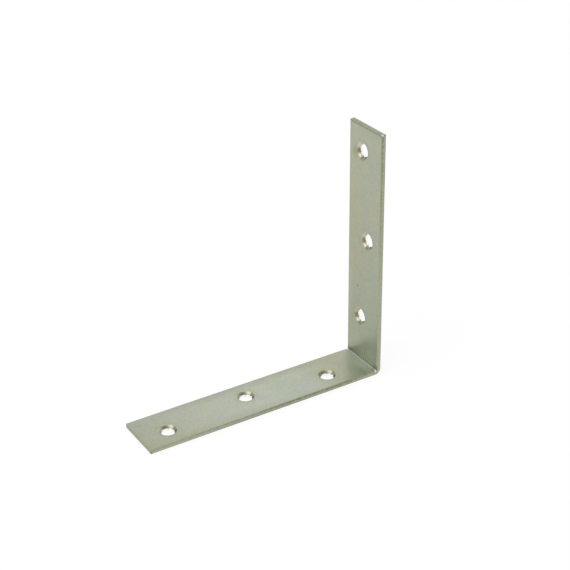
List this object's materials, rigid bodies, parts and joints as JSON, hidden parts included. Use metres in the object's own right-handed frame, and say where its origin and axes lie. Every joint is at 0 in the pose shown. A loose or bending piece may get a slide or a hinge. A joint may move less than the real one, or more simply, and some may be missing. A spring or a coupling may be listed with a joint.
{
  "type": "corner brace",
  "caption": "Zinc-plated steel corner brace: a flat strip folded once to a right angle, with staggered countersunk screw holes in both legs.",
  "frame": {"origin": "the heel: the point, halfway across the strip, where the two outer faces would meet if the bend were sharp", "axes": "the foot lies along -Y with its outer face down on z = 0, the upright stands along +Z with its outer face on y = 0, and X runs across the strip"},
  "size_m": [0.0254, 0.127, 0.127],
  "materials": {
    "zinc_plated_steel": "satin zinc plate"
  },
  "bodies": {
    "root": {"corner_brace": "zinc_plated_steel"}
  },
  "joints": []
}
